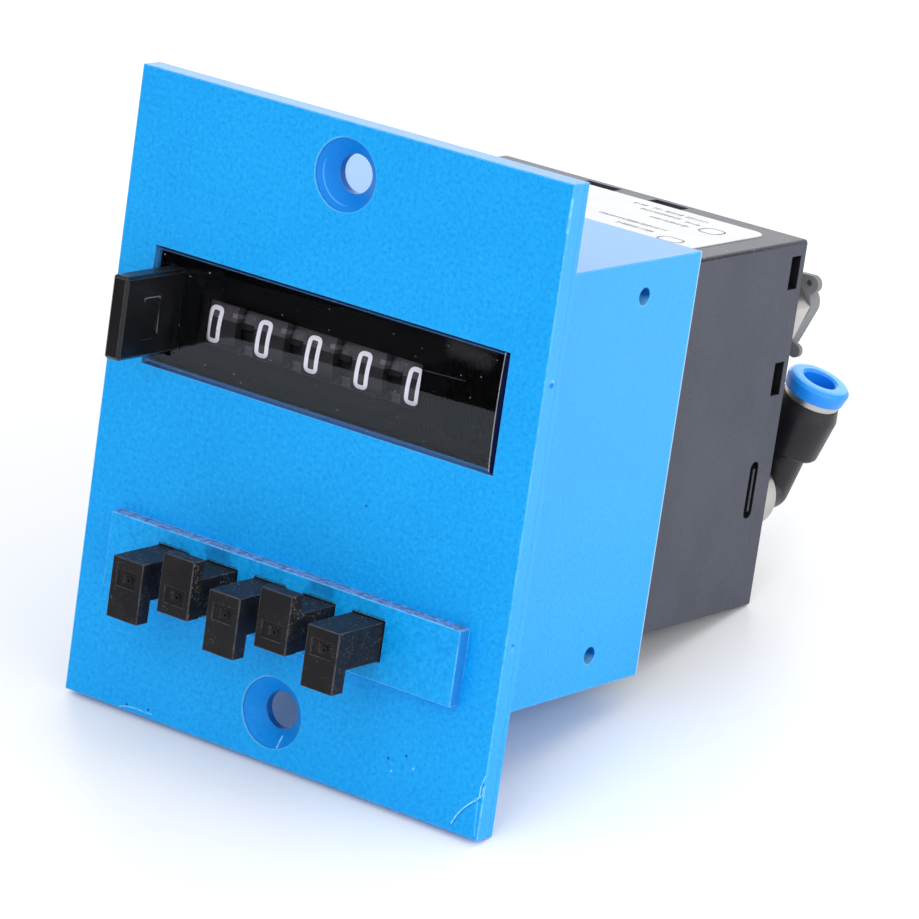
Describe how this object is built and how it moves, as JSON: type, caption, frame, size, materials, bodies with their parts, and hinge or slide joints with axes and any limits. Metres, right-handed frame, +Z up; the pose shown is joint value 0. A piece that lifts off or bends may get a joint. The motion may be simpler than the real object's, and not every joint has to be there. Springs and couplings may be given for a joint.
{
  "type": "pneumatic time delay valve",
  "caption": "Panel-mounted pneumatic time delay valve: blue front plate with a digit window, set keys and a reset button, black valve housing with a push-in elbow behind.",
  "frame": {"origin": "middle of the front plate's rear face, which is also the centre of its two panel screw holes", "axes": "+X across the plate to the right seen from the front, +Y into the panel towards the ports, +Z up the plate"},
  "size_m": [0.06, 0.0868, 0.075],
  "materials": {
    "blue_moulding": "fine satin, slightly grained",
    "clear_pane": "clear acrylic, polished",
    "black_plastic": "satin, dusty",
    "wheel_plastic": "matte",
    "housing_plastic": "matte, fine texture",
    "steel": "bright rolled",
    "zinc": "plain zinc-plated",
    "block_metal": "machined",
    "brass": "turned",
    "seal_rubber": "matte",
    "nickel": "nickel-plated, satin",
    "ring_blue": "glossy",
    "cap_rubber": "dull",
    "label_paper": "satin film label"
  },
  "bodies": {
    "valve": {"front_frame": "blue_moulding", "display_window": "clear_pane", "digit_mask": "black_plastic", "side_plate_left": "steel", "side_plate_right": "steel", "tie_bars": "steel", "key_guide": "steel", "detent_comb": "steel", "rocker_shaft": "steel", "trip_shaft": "steel", "rear_housing": "housing_plastic", "rear_cover": "housing_plastic", "rear_screws": "steel", "retaining_pins": "steel", "rating_label": "label_paper", "valve_block": "block_metal", "cylinder_cap": "brass", "poppet_guide": "brass", "elbow_base": "nickel", "port_nipple": "nickel", "port_cap": "cap_rubber"},
    "reset": {"reset_button": "black_plastic", "reset_spring": "steel"},
    "shaft": {"wheel_shaft": "steel"},
    "piston": {"drive_piston": "steel", "piston_seal": "seal_rubber", "piston_spring": "steel"},
    "rocker": {"drive_rocker": "zinc"},
    "trip": {"trip_lever": "zinc"},
    "poppet": {"output_poppet": "black_plastic", "poppet_spring": "steel"},
    "elbow": {"elbow_body": "black_plastic", "collet_ring": "nickel", "tube_seal": "seal_rubber"},
    "ring": {"release_ring": "ring_blue"},
    "key_1": {"set_key_1": "black_plastic", "key_spring_1": "steel"},
    "wheel_1": {"number_wheel_1": "wheel_plastic"},
    "key_2": {"set_key_2": "black_plastic", "key_spring_2": "steel"},
    "wheel_2": {"number_wheel_2": "wheel_plastic"},
    "key_3": {"set_key_3": "black_plastic", "key_spring_3": "steel"},
    "wheel_3": {"number_wheel_3": "wheel_plastic"},
    "key_4": {"set_key_4": "black_plastic", "key_spring_4": "steel"},
    "wheel_4": {"number_wheel_4": "wheel_plastic"},
    "key_5": {"set_key_5": "black_plastic", "key_spring_5": "steel"},
    "wheel_5": {"number_wheel_5": "wheel_plastic"}
  },
  "joints": [
    {"name": "press_key_1", "type": "slide", "parent": "valve", "child": "key_1", "axis": [0, 1, 0], "range_m": [0, 0.0034], "stiffness_N_per_m": 300},
    {"name": "press_key_2", "type": "slide", "parent": "valve", "child": "key_2", "axis": [0, 1, 0], "range_m": [0, 0.0034], "stiffness_N_per_m": 300},
    {"name": "press_key_3", "type": "slide", "parent": "valve", "child": "key_3", "axis": [0, 1, 0], "range_m": [0, 0.0034], "stiffness_N_per_m": 300},
    {"name": "press_key_4", "type": "slide", "parent": "valve", "child": "key_4", "axis": [0, 1, 0], "range_m": [0, 0.0034], "stiffness_N_per_m": 300},
    {"name": "press_key_5", "type": "slide", "parent": "valve", "child": "key_5", "axis": [0, 1, 0], "range_m": [0, 0.0034], "stiffness_N_per_m": 300},
    {"name": "press_reset", "type": "slide", "parent": "valve", "child": "reset", "axis": [0, 1, 0], "range_m": [0, 0.0075], "stiffness_N_per_m": 150},
    {"name": "turn_shaft", "type": "hinge", "parent": "valve", "child": "shaft", "pos_m": [0, 0.00785, 0.0102], "axis": [-1, 0, 0], "range_deg": [0, 345]},
    {"name": "turn_wheel_1", "type": "hinge", "parent": "valve", "child": "wheel_1", "pos_m": [-0.0158, 0.00785, 0.0102], "axis": [1, 0, 0], "continuous": true},
    {"name": "turn_wheel_2", "type": "hinge", "parent": "valve", "child": "wheel_2", "pos_m": [-0.0088, 0.00785, 0.0102], "axis": [1, 0, 0], "continuous": true},
    {"name": "turn_wheel_3", "type": "hinge", "parent": "valve", "child": "wheel_3", "pos_m": [-0.0018, 0.00785, 0.0102], "axis": [1, 0, 0], "continuous": true},
    {"name": "turn_wheel_4", "type": "hinge", "parent": "valve", "child": "wheel_4", "pos_m": [0.0052, 0.00785, 0.0102], "axis": [1, 0, 0], "continuous": true},
    {"name": "turn_wheel_5", "type": "hinge", "parent": "valve", "child": "wheel_5", "pos_m": [0.0122, 0.00785, 0.0102], "axis": [1, 0, 0], "continuous": true},
    {"name": "stroke_piston", "type": "slide", "parent": "valve", "child": "piston", "axis": [0, -1, 0], "range_m": [0, 0.004], "stiffness_N_per_m": 400},
    {"name": "swing_rocker", "type": "hinge", "parent": "valve", "child": "rocker", "pos_m": [0, 0.01775, 0.0003], "axis": [-1, 0, 0], "range_deg": [0, 22]},
    {"name": "lift_poppet", "type": "slide", "parent": "valve", "child": "poppet", "axis": [0, 1, 0], "range_m": [0, 0.0015], "stiffness_N_per_m": 400},
    {"name": "swing_trip", "type": "hinge", "parent": "valve", "child": "trip", "pos_m": [0.006, 0.026, 0.006], "axis": [-1, 0, 0], "range_deg": [0, 9.2]},
    {"name": "swivel_elbow", "type": "hinge", "parent": "valve", "child": "elbow", "pos_m": [0.0175, 0.0697, -0.01], "axis": [0, 1, 0], "continuous": true},
    {"name": "press_ring", "type": "slide", "parent": "elbow", "child": "ring", "axis": [-0.309, 0, -0.9511], "range_m": [0, 0.0006], "stiffness_N_per_m": 500}
  ],
  "couplings": [
    {"joint": "turn_shaft", "follows": "press_reset", "rad_per_m": 800},
    {"joint": "swing_rocker", "follows": "stroke_piston", "rad_per_m": 95.2},
    {"joint": "swing_trip", "follows": "lift_poppet", "rad_per_m": 106.7}
  ]
}
